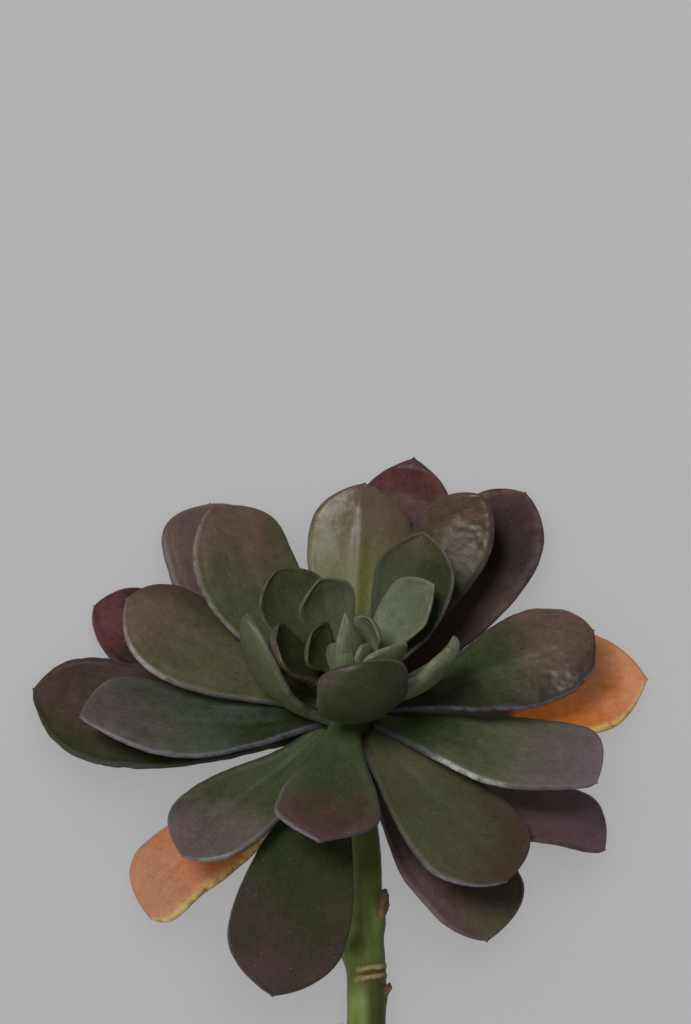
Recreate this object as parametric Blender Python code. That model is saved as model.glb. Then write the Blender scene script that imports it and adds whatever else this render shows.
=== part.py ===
"""A cut echeveria rosette lying on a table: a bent stem, separate fleshy leaves and a small heart bud.

Lengths are in millimetres and turned into metres by MM. The crown is the point on the stem's axis
where the lowest leaves grow. In the crown's own frame X points right, Y points to the back of the
rosette and Z runs along the rosette's axis, which leans back from the vertical by LEAN.
"""

import math
from collections import namedtuple

import bmesh
import bpy
from mathutils import Matrix, Vector
from mathutils.bvhtree import BVHTree

MM = 0.001

# Where the crown stands over the middle of the whole plant, and how far its axis leans towards +Y.
CROWN_PLACE = Vector((2.1, 15.6, 0.0))
CROWN = CROWN_PLACE + Vector((0.0, 0.0, 18.0))
LEAN = math.radians(35.0)

# The core, which the leaves grow from, runs from below the crown up to the heart bud.
CORE_TOP = 21.0
CORE_FOOT = -3.0
CORE_RADIUS = 7.6
CORE_TAPER = 0.15
CORE_HEIGHTS = (CORE_FOOT, 0.0, 7.0, 14.0, CORE_TOP - 1.0, CORE_TOP)
CORE_TOP_SHARE = 0.8

# The stem comes from its plain cut end straight along the table and bends up to the core's foot.
STEM_END = CROWN_PLACE + Vector((4.2, -105.0, 5.3))
STEM_BEND = CROWN_PLACE + Vector((3.8, -32.0, 4.4))
STEM_BEND_STRENGTH = 12.0
NECK_STRENGTH = 8.4
STEM_STEP = 2.4
BEND_STEPS = 12
TUBE_POINTS = 16

# Along the stem, distances are measured from the cut end.
STEM_THICK = 5.2
STEM_THIN = 3.75
STEM_THICK_UNTIL = 53.0
STEM_THIN_FROM = 59.0
CORE_FLARE = 6.0
SCAR_RINGS = (7.0, 20.8, 23.0, 45.6, 48.0)
SCAR_HEIGHT = 0.45
SCAR_WIDTH = 0.9

# One leaf's form, shared by all of them. Shares are of its length, width or thickness.
RING_POINTS = 12
STATIONS = (0.0, 0.08, 0.18, 0.30, 0.42, 0.54, 0.65, 0.75, 0.84, 0.91, 0.96, 0.985)
FOOT_WIDTH = 0.27
FOOT_DEPTH = 1.0
BROADEST_AT = 0.68
WAIST_POWER = 1.6
TIP_POWER = 2.3
TIP_ROUNDING = 0.72
POINT_FROM = 0.93
POINT_WIDTH = 0.13
BLADE_END = 0.985
EDGE_FULLNESS = 0.8
TIP_THINNING = 0.42
END_THICKNESS = 0.35
END_SLOPE = 5.0
CUP_MIDDLE = 0.4
HOOK_POWER = 5

# The free space that a leaf leaves to the core and to the leaves above it.
CLEARANCE = 0.32

# How far the plant's own weight presses it flat where it lies on the table.
SETTLE = 0.3

# foot: height on the core. turn, reach, rise: where the tip is, as an angle from +X, a distance
# from the axis and a height. bow: how far the midrib sags under the straight line to the tip, and
# swing: how far it bends sideways, both as shares of the length. hook: the same close to the tip.
# roll: turn of the blade about its own line. cup: how high its edges rise, as a share of half the
# width.
Leaf = namedtuple("Leaf", "name foot turn reach rise width thick bow swing hook roll cup colour")

OUTER_LEAVES = [
    Leaf("outer_leaf_back", 1, 77, 72, 28.5, 26, 3.4, 0.10, 0, 0, 0, 0.20, "burgundy"),
    Leaf("outer_leaf_back_left", 4, 122, 72, 21, 30.5, 3.4, 0.08, 0.06, 0, 0, 0.22, "burgundy"),
    Leaf("outer_leaf_left_upper", 0.5, 149, 75, 7, 24, 3.4, 0.08, -0.02, 0, 12, 0.20, "burgundy"),
    Leaf("outer_leaf_left", 4, 170, 79.5, 3, 27, 3.4, 0.02, 0.05, 0.01, 20, 0.20, "brown"),
    Leaf("outer_leaf_left_orange", -2, 210.5, 57.5, -32, 24, 3.4, 0.04, -0.05, -0.05, 12, 0.15, "orange"),
    Leaf("outer_leaf_front_left", 2, 252, 60, -29, 29, 3.4, 0.04, -0.02, 0, 5, 0.18, "plum"),
    Leaf("outer_leaf_front_right", -2, 311, 50.5, -31.5, 28, 3.4, 0.08, 0.08, 0.09, 10, 0.18, "plum"),
    Leaf("outer_leaf_right", 1.5, 344, 65, -21, 25, 3.4, 0.08, 0.02, 0.12, 15, 0.18, "brown"),
    Leaf("outer_leaf_right_orange", 3.5, 16, 77, -2.5, 28, 3.4, 0.05, 0.06, 0.01, -5, 0.15, "orange"),
    Leaf("outer_leaf_back_right", 5, 51, 71.5, 31, 28, 3.4, 0.09, 0, 0, -10, 0.30, "brown"),
]
MIDDLE_LEAVES = [
    Leaf("middle_leaf_front_left", 7, 217, 50.5, -9, 24, 3.4, 0.04, -0.02, -0.04, 0, 0.20, "plum"),
    Leaf("middle_leaf_left", 8.5, 180.5, 65.5, 8, 25, 3.4, 0.08, 0, -0.03, 0, 0.20, "olive"),
    Leaf("middle_leaf_left_upper", 10, 154, 61.5, 21.5, 28, 3.4, 0.10, -0.02, 0, 0, 0.20, "brown"),
    Leaf("middle_leaf_back_left", 12.5, 124, 60.5, 30.5, 26.5, 3.4, 0.10, 0.03, -0.03, 0, 0.20, "olive"),
    Leaf("middle_leaf_back", 9, 86.5, 52, 36.5, 26, 3.4, 0.12, 0, 0, -5, 0.25, "olive"),
    Leaf("middle_leaf_back_right", 12.5, 55, 55, 39, 21.5, 3.4, 0.07, 0, 0, -6, 0.25, "olive"),
    Leaf("middle_leaf_right_upper", 11, 18.5, 63, 16.5, 26, 3.4, 0.06, 0.02, 0, -12, 0.22, "olive"),
    Leaf("middle_leaf_right", 9, 347.5, 61, -2, 25.5, 3.4, 0.06, 0.03, 0.07, 8, 0.20, "plum"),
    Leaf("middle_leaf_front_right", 7, 315.5, 52.5, -11, 28, 3.4, 0.04, 0.025, 0.02, 0, 0.20, "plum"),
    Leaf("middle_leaf_front", 12.5, 260.5, 42.5, 10, 25, 3.4, 0.06, 0, 0, 0, 0.20, "plum"),
]
INNER_LEAVES = [
    Leaf("inner_leaf_left", 10, 172, 24.5, 39.5, 20, 3.0, 0.14, 0.33, 0, -30, 0.30, "green"),
    Leaf("inner_leaf_front", 14, 283, 13.5, 40.3, 22, 3.0, 0.20, 0, 0, 0, 0.30, "green"),
    Leaf("inner_leaf_right", 14.5, 357.5, 24.3, 34.5, 16, 3.0, 0.12, 0.08, 0, 35, 0.30, "green"),
    Leaf("inner_leaf_back_right", 15, 59, 34, 42, 21, 3.0, 0.10, -0.07, 0, 0, 0.30, "green"),
    Leaf("inner_leaf_back_left", 17, 128, 28.5, 35.5, 19, 2.6, 0.10, 0, 0, 0, 0.30, "green"),
    Leaf("inner_leaf_right_upper", 18, 32, 23, 40, 15, 2.6, 0.10, 0.09, 0, 0, 0.30, "green"),
    Leaf("inner_leaf_left_lower", 18.5, 180, 18.5, 36.5, 14, 2.6, 0.10, -0.06, 0, 0, 0.30, "green"),
    Leaf("inner_leaf_back", 19.5, 118, 14, 43, 15.3, 2.6, 0.10, -0.03, 0, 0, 0.30, "green"),
]
LEAVES = OUTER_LEAVES + MIDDLE_LEAVES + INNER_LEAVES

# The heart's smallest leaves grow from one low dome at the top of the core, with the bud among them.
HEART_LEAVES = [
    Leaf("left", 23, 160, 8.6, 36, 13, 1.9, 0.14, 0, 0, 0, 0.30, "green"),
    Leaf("right", 23, 337, 12.8, 38, 12, 1.9, 0.14, -0.08, 0, 15, 0.30, "green"),
    Leaf("back", 24, 40, 6, 38.5, 8, 1.7, 0.10, 0, 0, 0, 0.30, "green"),
    Leaf("front", 23, 310, 6, 34, 9, 1.7, 0.14, 0, 0, 0, 0.30, "green"),
    Leaf("bud", 24, 300, -2.5, 41, 7, 2.2, 0.12, 0, 0, 0, 0.30, "green"),
]
DOME_RADIUS = 4.0
DOME_BASE = 21.4
DOME_HEIGHT = 7.0
DOME_STATIONS = (0.0, 0.35, 0.7, 0.92)

# Dry stubs of old leaves on the stem. place: distance from the cut end. around: turn about the
# stem from its right side. lift: how far the free end stands off.
Bract = namedtuple("Bract", "place around length width lift")
BRACTS = [
    Bract(57.5, 0, 8.5, 4.5, 1.6),
    Bract(37.0, 15, 6.5, 4.0, 1.0),
    Bract(32.0, 170, 6.0, 4.0, 0.8),
    Bract(13.0, 40, 6.5, 4.0, 1.0),
]
BRACT_STATIONS = (0.0, 0.3, 0.6, 0.85, 1.0)
BRACT_POINTS = 8
BRACT_DEPTH = 1.6
BRACT_SEAT = 3.0
BRACT_NARROWING = 0.75
BRACT_THINNING = 0.6

# Base colour and roughness of each kind of surface.
COLOURS = {
    "burgundy": ((0.10, 0.035, 0.035), 0.38),
    "brown": ((0.10, 0.065, 0.04), 0.40),
    "plum": ((0.11, 0.10, 0.075), 0.42),
    "olive": ((0.10, 0.13, 0.05), 0.42),
    "green": ((0.14, 0.19, 0.10), 0.48),
    "orange": ((0.60, 0.22, 0.09), 0.45),
    "stem": ((0.20, 0.32, 0.09), 0.50),
}
SHARP_FROM = math.radians(50.0)


def crown_matrix():
    """Carries a point from the crown's frame to the part's frame, both in millimetres."""
    return Matrix.Translation(CROWN) @ Matrix.Rotation(-LEAN, 4, "X")


def crown_axis():
    return (crown_matrix().to_3x3() @ Vector((0.0, 0.0, 1.0))).normalized()


def core_radius(height):
    return CORE_RADIUS - CORE_TAPER * max(height, 0.0)


def polar(turn, reach, height):
    angle = math.radians(turn)
    return Vector((reach * math.cos(angle), reach * math.sin(angle), height))


def blend(low, high, value):
    """0 below low, 1 above high and a smooth rise between them."""
    share = min(max((value - low) / (high - low), 0.0), 1.0)
    return share * share * (3.0 - 2.0 * share)


def leaf_line(leaf):
    """The leaf's foot and tip, the bend that its midrib is drawn towards, and its side and face."""
    foot = polar(leaf.turn, core_radius(leaf.foot) - FOOT_DEPTH, leaf.foot)
    tip = polar(leaf.turn, leaf.reach, leaf.rise)
    length = (tip - foot).length
    chord = (tip - foot).normalized()
    side = polar(leaf.turn + 90.0, 1.0, 0.0)
    face = chord.cross(side).normalized()
    roll = Matrix.Rotation(math.radians(-leaf.roll), 3, chord)
    side = roll @ side
    face = roll @ face
    bend = (foot + tip) / 2 - face * (2 * leaf.bow * length) + side * (2 * leaf.swing * length)
    return foot, tip, bend, side


def hook_shape(share):
    """A sideways bulge near the tip, 1 at its highest."""
    peak = HOOK_POWER / (HOOK_POWER + 1)
    return share**HOOK_POWER * (1.0 - share) / (peak**HOOK_POWER * (1.0 - peak))


def half_width(share):
    """Half the blade's width at this share of its length, with 1 at its broadest."""
    if share < BROADEST_AT:
        rise = math.sin(0.5 * math.pi * share / BROADEST_AT) ** WAIST_POWER
        return FOOT_WIDTH + (1.0 - FOOT_WIDTH) * rise
    past = min((share - BROADEST_AT) / (BLADE_END - BROADEST_AT), 1.0)
    blade = max(1.0 - past**TIP_POWER, 0.0) ** TIP_ROUNDING
    point = POINT_WIDTH * min(1.0, (1.0 - share) / (1.0 - POINT_FROM))
    return max(blade, point)


def half_thickness(share):
    """Half the blade's thickness at this share of its length, with 1 at its foot."""
    thinning = 1.0 - TIP_THINNING * share**2
    return thinning * min(1.0, END_THICKNESS + END_SLOPE * (1.0 - share))


def leaf_ring(leaf, share, grow):
    """The ring of points round the blade at this share of its length, in the crown's frame."""
    foot, tip, bend, side = leaf_line(leaf)
    centre = foot * (1 - share) ** 2 + bend * (2 * share * (1 - share)) + tip * share**2
    centre += side * (leaf.hook * (tip - foot).length * hook_shape(share))
    along = ((bend - foot) * (1 - share) + (tip - bend) * share).normalized()
    across = (side - along * side.dot(along)).normalized()
    up = along.cross(across).normalized()
    half = leaf.width / 2 * half_width(share) + grow
    deep = leaf.thick / 2 * half_thickness(share) + grow
    ring = []
    for k in range(RING_POINTS):
        angle = 2 * math.pi * k / RING_POINTS
        out = math.cos(angle)
        lift = math.copysign(abs(math.sin(angle)) ** EDGE_FULLNESS, math.sin(angle))
        rise = leaf.cup * half * (out * out - CUP_MIDDLE)
        ring.append(centre + across * (out * half) + up * (lift * deep + rise))
    return ring


def add_ring(bm, ring, to_part):
    """Adds the ring in the part's frame and in metres. What would sink into the table lies on it."""
    placed = [to_part @ point for point in ring]
    lift = max(-SETTLE - min(point.z for point in placed), 0.0)
    return [bm.verts.new(Vector((p.x, p.y, max(p.z + lift, 0.0))) * MM) for p in placed]


def skin(bm, rings):
    """Joins each ring to the next one with faces and closes the first ring."""
    for lower, upper in zip(rings, rings[1:]):
        for k, vertex in enumerate(lower):
            after = (k + 1) % len(lower)
            bm.faces.new((vertex, lower[after], upper[after], upper[k]))
    bm.faces.new(list(reversed(rings[0])))


def mesh_from(bm, name):
    bmesh.ops.triangulate(bm, faces=bm.faces)
    bmesh.ops.recalc_face_normals(bm, faces=bm.faces)
    mesh = bpy.data.meshes.new(name)
    bm.to_mesh(mesh)
    bm.free()
    return mesh


def leaf_mesh(leaf, grow=0.0):
    """A closed blade, grown by this much on every side when it serves as a cutter."""
    bm = bmesh.new()
    rings = [add_ring(bm, leaf_ring(leaf, share, grow), crown_matrix()) for share in STATIONS]
    skin(bm, rings)
    _, tip, bend, _ = leaf_line(leaf)
    point = add_ring(bm, [tip + (tip - bend).normalized() * grow], crown_matrix())[0]
    for k, vertex in enumerate(rings[-1]):
        bm.faces.new((vertex, rings[-1][(k + 1) % RING_POINTS], point))
    return mesh_from(bm, leaf.name)


def stem_centres():
    """Points along the axis of the stem and the core, from the cut end to the top of the core."""
    up = crown_axis()
    neck = CROWN + up * CORE_FOOT
    forward = (STEM_BEND - STEM_END).normalized()
    straight = int((STEM_BEND - STEM_END).length / STEM_STEP)
    centres = [STEM_END.lerp(STEM_BEND, k / straight) for k in range(straight)]
    pulls = (STEM_BEND, STEM_BEND + forward * STEM_BEND_STRENGTH, neck - up * NECK_STRENGTH, neck)
    for k in range(BEND_STEPS):
        t = k / BEND_STEPS
        weights = ((1 - t) ** 3, 3 * t * (1 - t) ** 2, 3 * t * t * (1 - t), t**3)
        centres.append(sum((pull * weight for pull, weight in zip(pulls, weights)), Vector()))
    return centres + [CROWN + up * height for height in CORE_HEIGHTS]


def stem_radius(centre):
    height = (centre - CROWN).dot(crown_axis())
    if height > CORE_FOOT - CORE_FLARE:
        flare = blend(CORE_FOOT - CORE_FLARE, CORE_FOOT, height)
        radius = STEM_THIN + (core_radius(height) - STEM_THIN) * flare
        return radius if height < CORE_TOP else radius * CORE_TOP_SHARE
    distance = centre.y - STEM_END.y
    thinning = blend(STEM_THICK_UNTIL, STEM_THIN_FROM, distance)
    rings = sum(math.exp(-(((distance - place) / SCAR_WIDTH) ** 2)) for place in SCAR_RINGS)
    return STEM_THICK + (STEM_THIN - STEM_THICK) * thinning + SCAR_HEIGHT * rings


def stem_mesh(grow=0.0):
    """The stem and the core as one tube, grown by this much when it serves as a cutter."""
    centres = stem_centres()
    bm = bmesh.new()
    rings = []
    for k, centre in enumerate(centres):
        before = centres[max(k - 1, 0)]
        after = centres[min(k + 1, len(centres) - 1)]
        along = (after - before).normalized()
        right = Vector((1.0, 0.0, 0.0))
        right = (right - along * right.dot(along)).normalized()
        up = right.cross(along)
        radius = stem_radius(centre) + grow
        ring = []
        for n in range(TUBE_POINTS):
            angle = 2 * math.pi * n / TUBE_POINTS
            ring.append(centre + (right * math.cos(angle) + up * math.sin(angle)) * radius)
        rings.append(add_ring(bm, ring, Matrix.Identity(4)))
    skin(bm, rings)
    bm.faces.new(rings[-1])
    return mesh_from(bm, "stem")


def bract_mesh(bract):
    """A dry leaf stub: a small flat scale that leaves the stem's side and points towards the crown."""
    forward = (STEM_BEND - STEM_END).normalized()
    base = STEM_END + forward * bract.place
    out = Matrix.Rotation(math.radians(bract.around), 3, forward) @ Vector((1.0, 0.0, 0.0))
    side = forward.cross(out)
    bm = bmesh.new()
    rings = []
    for share in BRACT_STATIONS:
        centre = base + forward * (bract.length * share) + out * (BRACT_SEAT + bract.lift * share)
        half = bract.width / 2 * (1.0 - BRACT_NARROWING * share**2)
        deep = BRACT_DEPTH * (1.0 - BRACT_THINNING * share)
        ring = []
        for k in range(BRACT_POINTS):
            angle = 2 * math.pi * k / BRACT_POINTS
            ring.append(centre + side * (half * math.cos(angle)) + out * (deep * math.sin(angle)))
        rings.append(add_ring(bm, ring, Matrix.Identity(4)))
    skin(bm, rings)
    bm.faces.new(rings[-1])
    return mesh_from(bm, "bract")


def dome_mesh(grow=0.0):
    """The low dome at the middle of the heart, grown by this much when it serves as a cutter."""
    bm = bmesh.new()
    rings = []
    for share in DOME_STATIONS:
        radius = DOME_RADIUS * math.sqrt(1.0 - share * share) + grow
        height = DOME_BASE + DOME_HEIGHT * share
        ring = [polar(360.0 * k / TUBE_POINTS, radius, height) for k in range(TUBE_POINTS)]
        rings.append(add_ring(bm, ring, crown_matrix()))
    skin(bm, rings)
    bm.faces.new(rings[-1])
    return mesh_from(bm, "dome")


def surface_material(name, colour):
    base, roughness = COLOURS[colour]
    material = bpy.data.materials.new(name)
    material.use_nodes = True
    shader = material.node_tree.nodes["Principled BSDF"]
    shader.inputs["Base Color"].default_value = (*base, 1.0)
    shader.inputs["Roughness"].default_value = roughness
    shader.inputs["Metallic"].default_value = 0.0
    return material


def add_object(name, mesh):
    obj = bpy.data.objects.new(name, mesh)
    bpy.context.scene.collection.objects.link(obj)
    return obj


def finish(obj, colour):
    """Gives a finished piece its material and smooth shading."""
    obj.data.materials.clear()
    obj.data.materials.append(surface_material(obj.name, colour))
    obj.data.shade_smooth()
    obj.data.set_sharp_from_angle(angle=SHARP_FROM)


def apply_modifiers(obj):
    graph = bpy.context.evaluated_depsgraph_get()
    mesh = bpy.data.meshes.new_from_object(obj.evaluated_get(graph))
    obj.modifiers.clear()
    obj.data = mesh


def join_all(obj, others):
    """Unites the object with the others, which are removed."""
    group = bpy.data.collections.new("joined")
    for other in others:
        group.objects.link(other)
    union = obj.modifiers.new("join", "BOOLEAN")
    union.operation = "UNION"
    union.operand_type = "COLLECTION"
    union.collection = group
    union.solver = "EXACT"
    apply_modifiers(obj)
    for other in others:
        bpy.data.objects.remove(other)
    bpy.data.collections.remove(group)


def surface_tree(obj):
    corners = [vertex.co for vertex in obj.data.vertices]
    faces = [face.vertices for face in obj.data.polygons]
    return BVHTree.FromPolygons(corners, faces)


def keep_largest_piece(obj):
    """Drops what a cut has left loose beside the blade."""
    bm = bmesh.new()
    bm.from_mesh(obj.data)
    pieces = []
    left = set(bm.verts)
    while left:
        piece = {left.pop()}
        border = set(piece)
        while border:
            border = {edge.other_vert(v) for v in border for edge in v.link_edges} & left
            left -= border
            piece |= border
        pieces.append(piece)
    pieces.sort(key=len)
    loose = [vertex for piece in pieces[:-1] for vertex in piece]
    bmesh.ops.delete(bm, geom=loose, context="VERTS")
    bm.to_mesh(obj.data)
    bm.free()


def cut_away(obj, cutter):
    """Subtracts the cutter, with the other solver where the first one loses the body."""
    cut = obj.modifiers.new("clearance", "BOOLEAN")
    cut.operation = "DIFFERENCE"
    cut.object = cutter
    cut.solver = "EXACT"
    graph = bpy.context.evaluated_depsgraph_get()
    if not obj.evaluated_get(graph).data.polygons:
        cut.solver = "MANIFOLD"
    apply_modifiers(obj)


def clear_of(obj, cutters):
    """Cuts away what comes closer to the cutters' own shapes than the clearance."""
    tree = surface_tree(obj)
    met = [cutter for cutter in cutters if tree.overlap(surface_tree(cutter))]
    for cutter in met:
        cut_away(obj, cutter)
    if met:
        keep_largest_piece(obj)


def clear_scene():
    for obj in list(bpy.data.objects):
        bpy.data.objects.remove(obj)


def add_stem():
    stem = add_object("stem", stem_mesh())
    join_all(stem, [add_object("bract", bract_mesh(bract)) for bract in BRACTS])
    finish(stem, "stem")


def add_heart():
    heart = add_object("heart_bud", dome_mesh())
    join_all(heart, [add_object(leaf.name, leaf_mesh(leaf)) for leaf in HEART_LEAVES])
    finish(heart, "green")


def add_leaves():
    """Adds the leaves from the highest foot down, each cut clear of what grows above it."""
    cutters = [add_object("cutter", stem_mesh(CLEARANCE)), add_object("cutter", dome_mesh(CLEARANCE))]
    cutters += [add_object("cutter", leaf_mesh(leaf, CLEARANCE)) for leaf in HEART_LEAVES]
    for leaf in sorted(LEAVES, key=lambda leaf: -leaf.foot):
        blade = add_object(leaf.name, leaf_mesh(leaf))
        clear_of(blade, cutters)
        finish(blade, leaf.colour)
        cutters.append(add_object("cutter", leaf_mesh(leaf, CLEARANCE)))
    for cutter in cutters:
        bpy.data.objects.remove(cutter)


def main():
    clear_scene()
    add_stem()
    add_heart()
    add_leaves()


main()
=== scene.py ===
"""The looks of a cut echeveria rosette that lies on a pale table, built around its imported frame.

Every leaf is one blade from one Geometry Nodes tree, and every skin is a set of node formulas that
read where a point lies on its leaf: along it, across it and how far in from the rim. Sizes are in
millimetres and turned into metres by MM. The crown is the point on the stem where the lowest leaves
grow; in its own frame X points right, Y to the rosette's back and Z along the rosette's axis.
"""

import math
from collections import namedtuple

import bpy
from mathutils import Matrix, Vector, noise


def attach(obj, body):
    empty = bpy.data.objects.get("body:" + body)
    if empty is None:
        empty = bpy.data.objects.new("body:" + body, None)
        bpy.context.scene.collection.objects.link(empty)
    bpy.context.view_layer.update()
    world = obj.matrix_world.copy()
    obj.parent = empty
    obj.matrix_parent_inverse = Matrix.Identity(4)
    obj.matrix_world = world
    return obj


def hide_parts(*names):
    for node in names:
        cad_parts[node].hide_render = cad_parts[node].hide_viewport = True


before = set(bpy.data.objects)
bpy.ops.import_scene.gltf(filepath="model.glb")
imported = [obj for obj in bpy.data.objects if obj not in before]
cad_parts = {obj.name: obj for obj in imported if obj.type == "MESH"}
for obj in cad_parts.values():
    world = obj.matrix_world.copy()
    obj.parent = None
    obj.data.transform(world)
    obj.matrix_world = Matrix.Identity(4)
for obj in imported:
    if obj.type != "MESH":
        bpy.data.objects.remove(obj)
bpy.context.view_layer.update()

MM = 0.001
BODY = "root"

# The photograph's frame in pixels, with the crown's place in it, and the size of a pixel there.
PHOTO_WIDTH = 691
PHOTO_HEIGHT = 1024
CROWN_PIXEL = (350.0, 738.0)
PIXEL = 0.244
CAMERA_DISTANCE = 900.0
CAMERA_HEIGHT = math.radians(82.0)
SENSOR = 36.0

# The rosette's frame, as in the solids.
CROWN_PLACE = Vector((2.1, 15.6, 0.0))
CROWN = CROWN_PLACE + Vector((0.0, 0.0, 18.0))
LEAN = math.radians(35.0)
CORE_TOP = 21.0
CORE_FOOT = -3.0
CORE_RADIUS = 7.6
CORE_TAPER = 0.15
CORE_TOP_SHARE = 0.8
FOOT_DEPTH = 1.0

# The stem, from its plain cut end to the core. Distances are from the cut end.
STEM_END = CROWN_PLACE + Vector((4.2, -105.0, 4.9))
STEM_BEND = CROWN_PLACE + Vector((3.8, -32.0, 4.4))
STEM_BEND_STRENGTH = 12.0
NECK_STRENGTH = 8.4
STEM_STEP = 0.35
BEND_STEPS = 60
CORE_STEPS = 24
STEM_THICK = 4.7
STEM_THIN = 4.0
STEM_THICK_UNTIL = 53.0
STEM_THIN_FROM = 59.0
CORE_FLARE = 6.0
SCAR_RINGS = (7.0, 20.8, 23.0, 47.9, 50.1)
SCAR_GROOVES = (21.9, 49.0)
SCAR_SLANT = 0.6
SCAR_AROUND = 50
SCAR_SPREAD = 82
STEM_MIDDLE = 6.2
STEM_POINTS = 72
STEM_UNEVENNESS = 0.25

# Where the stem's skin stands out. place: distance from the cut end. around: turn about the stem
# from its right side up over its top. spread: how far the swelling reaches round the stem each way.
# length: its half length along the stem. height: how far it stands out.
Swelling = namedtuple("Swelling", "place around spread length height")
SWELLINGS = [Swelling(ring, SCAR_AROUND, SCAR_SPREAD, 0.8, 0.45) for ring in SCAR_RINGS]
SWELLINGS += [
    Swelling(54.7, 165, 75, 3.0, 1.6),
    Swelling(61.0, 10, 60, 4.0, 0.9),
    Swelling(43.0, 15, 60, 3.0, 0.5),
    Swelling(31.0, 190, 60, 3.5, 0.6),
    Swelling(15.0, 80, 70, 4.0, 0.6),
]

# One blade's form. Shares are of its length, width or thickness.
BLADE_STEPS = 72
BLADE_POINTS = 64
STEP_CROWDING = 1.5
FOOT_WIDTH = 0.27
BROADEST = 0.72
WAIST = 1.6
SHOULDER = 2.3
BLUNT = 0.66
POINT = (0.98, 0.05)
BLADE_END = 0.994
EDGE_FULLNESS = 0.62
TIP_THINNING = 0.42
END_THICKNESS = 0.35
END_SLOPE = 5.0
TIP_ROUND = 0.02
FOOT_ROUND = 0.012
FOOT_CUP = 0.22
CUP_MIDDLE = 0.4
HOOK_POWER = 5
RIDGE_WIDTH = 1.8
CREASE = -0.2
SETTLE = 0.3
EDGE_WAVES = 0.5
SURFACE_WAVES = 0.35
MERGE_DISTANCE = 1e-6

# How fine the patterns are that bend a blade's edge and surface and the stem, in cells a metre.
EDGE_BROAD_SCALE = 110.0
EDGE_FINE_SCALE = 420.0
SURFACE_SCALE = 85.0
STEM_BROAD_SCALE = 130.0
STEM_FINE_SCALE = 900.0

# foot: height on the core. turn, reach, rise: where the tip is, as an angle from +X, a distance
# from the axis and a height. bow: how far the midrib sags under the straight line to the tip, and
# swing: how far it bends sideways, both as shares of the length. hook: the same close to the tip.
# roll: turn of the blade about its own line. cup: how high its edges rise in the outer half, as a
# share of half the width. droop: how far the tip bends down again, as a share of the length.
# ahead, behind: how narrow the waist and how full the shoulder is on the side that faces the next
# leaf counter-clockwise and clockwise. broad: where the blade is broadest. ridge: height of the
# midrib, or depth of its crease. blunt: how full the end is, less is fuller. point: where the small
# point on the tip starts and how wide it is. waves: how far the edge wanders. foot_turn: how far
# round the core the foot sits from the tip's angle. end: how thick the end is, as a share of the
# thickness.
PLAIN_SIDE = (WAIST, SHOULDER)
Leaf = namedtuple(
    "Leaf",
    "name foot turn reach rise width thick bow swing hook roll cup slot droop ahead behind broad "
    "ridge blunt point waves foot_turn end",
    defaults=(0.0, PLAIN_SIDE, PLAIN_SIDE, BROADEST, CREASE, BLUNT, POINT, EDGE_WAVES, 0, END_THICKNESS),
)

# The plain form that the dry stubs start from.
PLAIN_LEAF = Leaf("leaf", 0, 0, 0, 0, 0, 0, 0, 0, 0, 0, 0, "leaf")

OUTER_LEAVES = [
    Leaf("outer_leaf_back", 1, 77, 72, 28.5, 26, 3.4, 0.10, 0, 0, 0, -0.04, "burgundy_leaf",
         ahead=(1.6, 2.8), behind=(1.6, 2.9), blunt=0.85),
    Leaf("outer_leaf_back_left", 4, 120, 70.8, 21, 30.5, 3.4, 0.08, 0.06, 0, 0, -0.04, "burgundy_leaf",
         ahead=(1.5, 5.0), behind=(1.6, 2.6), blunt=0.55, point=(0.99, 0.02)),
    Leaf("outer_leaf_left_upper", 0.5, 149, 75, 7, 24, 3.4, 0.08, -0.02, 0, 12, 0.02, "burgundy_leaf",
         behind=(1.4, 3.2), ahead=(1.6, 1.9), blunt=0.6, point=(0.99, 0.02)),
    Leaf("outer_leaf_left", 4, 168.6, 79.9, 0.8, 28, 3.4, 0.02, 0.05, 0.01, 20, 0.05, "brown_leaf",
         ahead=(1.4, 1.7), behind=(1.4, 3.4), waves=1.0),
    Leaf("outer_leaf_left_orange", -2, 212.5, 57.5, -32, 20.5, 3.4, 0.04, -0.05, -0.08, 12, 0.0,
         "orange_leaf", ahead=(1.3, 4.5), behind=(2.4, 4.5), blunt=0.62, point=(0.99, 0.02)),
    Leaf("outer_leaf_front_left", 2, 252, 60, -29, 29, 3.4, 0.04, -0.02, 0, 5, 0.0, "plum_leaf",
         ahead=(1.6, 2.6), behind=(1.6, 2.4), blunt=0.85),
    Leaf("outer_leaf_front_right", -2, 311, 50.5, -31.5, 29, 3.4, 0.08, 0.08, 0.09, 10, 0.02,
         "plum_leaf", ahead=(1.6, 2.6), behind=(1.3, 3.6), blunt=0.8),
    Leaf("outer_leaf_right", 1.5, 344, 65, -21, 25, 3.4, 0.08, 0.02, 0.12, 15, 0.04, "brown_leaf",
         ahead=(1.6, 8.0), behind=(1.6, 3.0)),
    Leaf("outer_leaf_right_orange", 3.5, 16, 77, -1.5, 29.5, 3.4, 0.05, 0.06, 0.01, -14, -0.04,
         "orange_leaf", ahead=(2.4, 2.6), behind=(2.2, 3.6), blunt=0.9),
    Leaf("outer_leaf_back_right", 5, 52.3, 71.5, 31, 26.5, 3.4, 0.09, 0, 0, -10, 0.02, "brown_leaf",
         ahead=(1.6, 3.2), behind=(1.6, 2.4), droop=0.05),
]
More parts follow.
